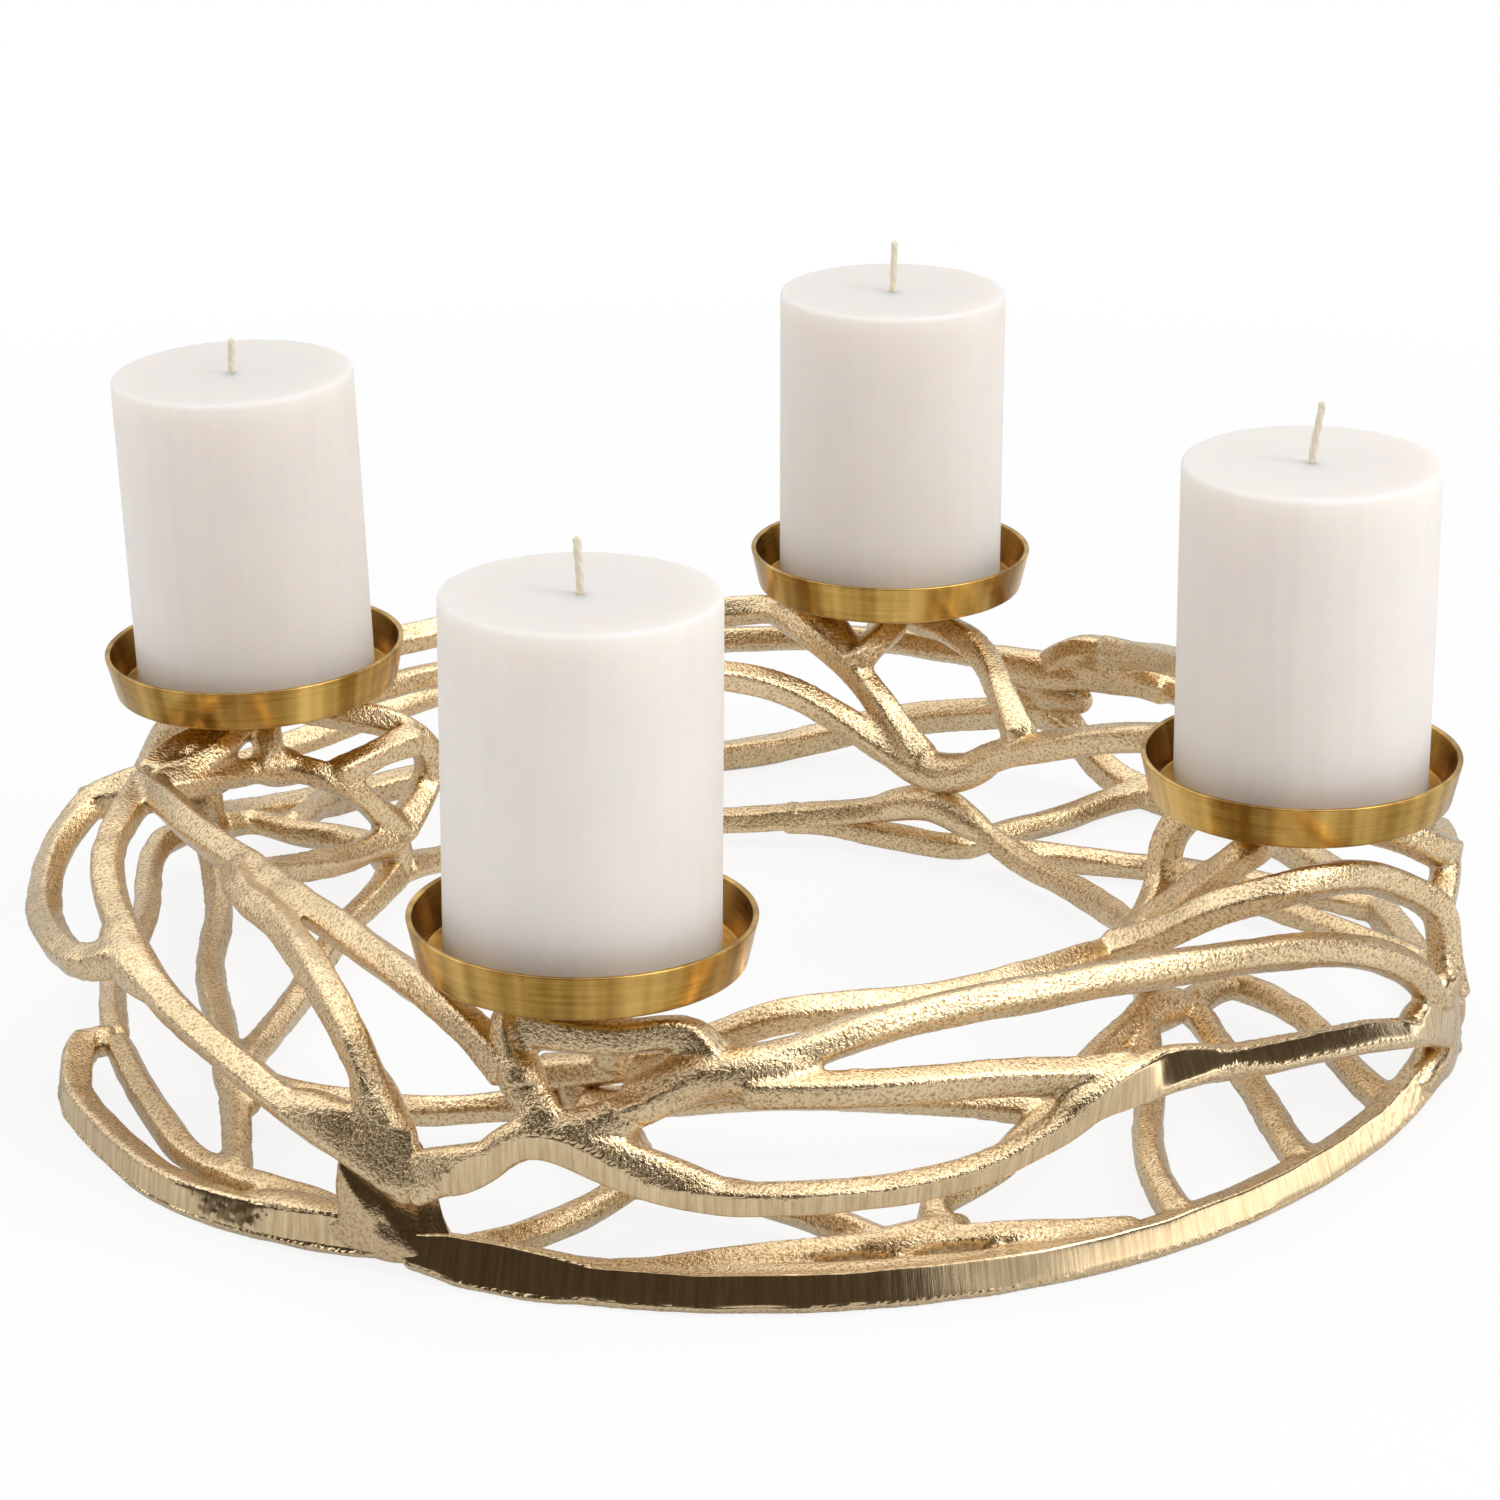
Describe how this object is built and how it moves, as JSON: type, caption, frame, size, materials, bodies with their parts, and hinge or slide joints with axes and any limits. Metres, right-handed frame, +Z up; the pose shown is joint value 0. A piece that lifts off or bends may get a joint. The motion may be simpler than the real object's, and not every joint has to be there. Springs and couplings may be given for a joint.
{
  "type": "advent candle holder",
  "caption": "Round advent candle holder: a ring of cast gold lattice carrying shallow brass dishes, each with an ivory pillar candle that lifts off its pricket.",
  "frame": {"origin": "the middle of the ring, on the table", "axes": "+Z up, +Y away from the viewer, +X to the viewer's right"},
  "size_m": [0.4064, 0.3989, 0.1885],
  "materials": {
    "cast_gold": "satin, sand-cast grain",
    "dish_brass": "brushed satin",
    "steel": "plain",
    "wax": "matt wax",
    "wick": "waxed cotton"
  },
  "bodies": {
    "holder": {"upper_lattice_front": "cast_gold", "upper_lattice_left": "cast_gold", "upper_lattice_back": "cast_gold", "upper_lattice_right": "cast_gold", "lower_lattice_front": "cast_gold", "lower_lattice_left": "cast_gold", "lower_lattice_back": "cast_gold", "lower_lattice_right": "cast_gold", "weld_outer_front": "cast_gold", "weld_outer_right": "cast_gold", "weld_outer_back": "cast_gold", "weld_outer_left": "cast_gold", "weld_inner_front": "cast_gold", "weld_inner_right": "cast_gold", "weld_inner_back": "cast_gold", "weld_inner_left": "cast_gold", "dish_front": "dish_brass", "pricket_front": "steel", "nut_front": "steel", "dish_right": "dish_brass", "pricket_right": "steel", "nut_right": "steel", "dish_back": "dish_brass", "pricket_back": "steel", "nut_back": "steel", "dish_left": "dish_brass", "pricket_left": "steel", "nut_left": "steel"},
    "candle_front": {"candle_front": "wax", "wick_front": "wick"},
    "candle_right": {"candle_right": "wax", "wick_right": "wick"},
    "candle_back": {"candle_back": "wax", "wick_back": "wick"},
    "candle_left": {"candle_left": "wax", "wick_left": "wick"}
  },
  "joints": [
    {"name": "candle_lift_front", "type": "slide", "parent": "holder", "child": "candle_front", "axis": [0.0073, 0.0197, 0.9998], "range_m": [0, 0.06]},
    {"name": "candle_lift_right", "type": "slide", "parent": "holder", "child": "candle_right", "axis": [-0.0126, -0.0077, 0.9999], "range_m": [0, 0.06]},
    {"name": "candle_lift_back", "type": "slide", "parent": "holder", "child": "candle_back", "axis": [-0.001, -0.0033, 1], "range_m": [0, 0.06]},
    {"name": "candle_lift_left", "type": "slide", "parent": "holder", "child": "candle_left", "axis": [-0.0364, -0.0123, 0.9993], "range_m": [0, 0.06]}
  ]
}
